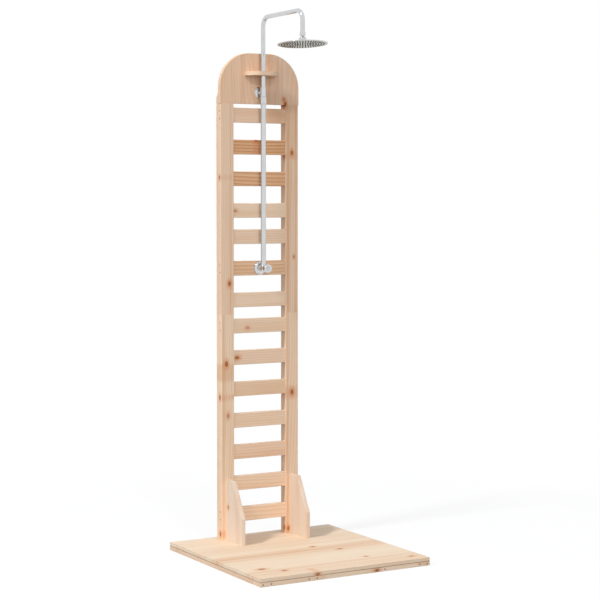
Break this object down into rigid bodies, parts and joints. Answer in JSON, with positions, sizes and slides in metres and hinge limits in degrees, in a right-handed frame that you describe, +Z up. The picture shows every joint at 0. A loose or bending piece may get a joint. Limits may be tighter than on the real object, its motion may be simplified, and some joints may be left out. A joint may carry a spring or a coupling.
{
  "type": "outdoor shower post",
  "caption": "Free-standing garden shower: slatted softwood panel on a square deck, carrying a sliding chrome riser with a turn valve, a small shelf, a bent arm and a round rain head.",
  "frame": {"origin": "centre of the deck's underside, on the ground", "axes": "+Z up, -Y towards the user's side where the arm reaches out, +X to the right seen from the front"},
  "size_m": [0.756, 0.772, 2.1863],
  "materials": {
    "pine_deck": "smooth sanded softwood, clear",
    "pine_frame": "smooth sanded softwood, clear",
    "pine_panel": "smooth sanded softwood, clear",
    "pine_rung": "smooth sanded softwood, clear",
    "pine_board": "smooth sanded softwood, clear",
    "screw_steel": "zinc plated",
    "chrome": "polished",
    "brass": "turned, plain",
    "seal_rubber": "moulded",
    "inner_plastic": "moulded",
    "spray_plate": "satin",
    "nozzle_rubber": "moulded",
    "knob_cap": "glossy"
  },
  "bodies": {
    "stand": {"deck_board_1": "pine_deck", "deck_board_2": "pine_deck", "deck_board_3": "pine_deck", "deck_board_4": "pine_deck", "frame_rail_front": "pine_frame", "frame_rail_rear": "pine_frame", "frame_batten_1": "pine_frame", "frame_batten_2": "pine_frame", "frame_batten_3": "pine_frame", "frame_batten_4": "pine_frame", "post_lower_left": "pine_panel", "post_lower_right": "pine_panel", "post_upper_left": "pine_panel", "post_upper_right": "pine_panel", "post_joint_tenons": "pine_panel", "rung_01": "pine_rung", "rung_02": "pine_rung", "rung_03": "pine_rung", "rung_04": "pine_rung", "rung_05": "pine_rung", "rung_06": "pine_rung", "rung_07": "pine_rung", "rung_08": "pine_rung", "rung_09": "pine_rung", "rung_10": "pine_rung", "rung_11": "pine_rung", "rung_12": "pine_rung", "rung_13": "pine_rung", "rung_14": "pine_rung", "head_board": "pine_board", "shelf": "pine_board", "gusset_left": "pine_board", "gusset_right": "pine_board", "rung_screws": "screw_steel", "frame_screws": "screw_steel", "stand_screws": "screw_steel", "head_screws": "screw_steel", "valve_body": "chrome", "valve_rosette": "chrome", "valve_cartridge": "brass", "inlet_locknut": "brass", "lower_riser": "chrome", "gland_ring": "seal_rubber", "bracket_sleeve": "chrome", "bracket_flange": "chrome", "bracket_bolt": "screw_steel"},
    "slider": {"guide_bush": "inner_plastic"},
    "arm": {"upper_pipe": "chrome", "arm_nut": "chrome"},
    "swivel": {"swivel_ball": "chrome"},
    "head": {"swivel_collar": "chrome", "head_shell": "chrome", "ball_seat": "inner_plastic", "spray_face": "spray_plate", "nozzles": "nozzle_rubber"},
    "riser_nut": {"lock_nut": "chrome"},
    "valve": {"valve_knob": "chrome", "valve_spindle": "brass", "knob_cap": "knob_cap"}
  },
  "joints": [
    {"name": "riser_height", "type": "slide", "parent": "stand", "child": "slider", "axis": [0, 0, 1], "range_m": [-0.15, 0.1]},
    {"name": "arm_swivel", "type": "hinge", "parent": "slider", "child": "arm", "pos_m": [0, 0.278, 1.833], "axis": [0, 0, 1], "range_deg": [-90, 90]},
    {"name": "head_turn", "type": "hinge", "parent": "arm", "child": "swivel", "pos_m": [0, -0.044, 2.063], "axis": [0, 0, 1], "continuous": true},
    {"name": "head_tilt", "type": "hinge", "parent": "swivel", "child": "head", "pos_m": [0, -0.044, 2.063], "axis": [1, 0, 0], "range_deg": [-11, 19]},
    {"name": "valve_turn", "type": "hinge", "parent": "stand", "child": "valve", "pos_m": [0, 0.25, 1.1505], "axis": [0, -1, 0], "range_deg": [0, 90]},
    {"name": "lock_nut_turn", "type": "hinge", "parent": "stand", "child": "riser_nut", "pos_m": [0, 0.278, 1.834], "axis": [0, 0, 1], "range_deg": [0, 180]}
  ]
}
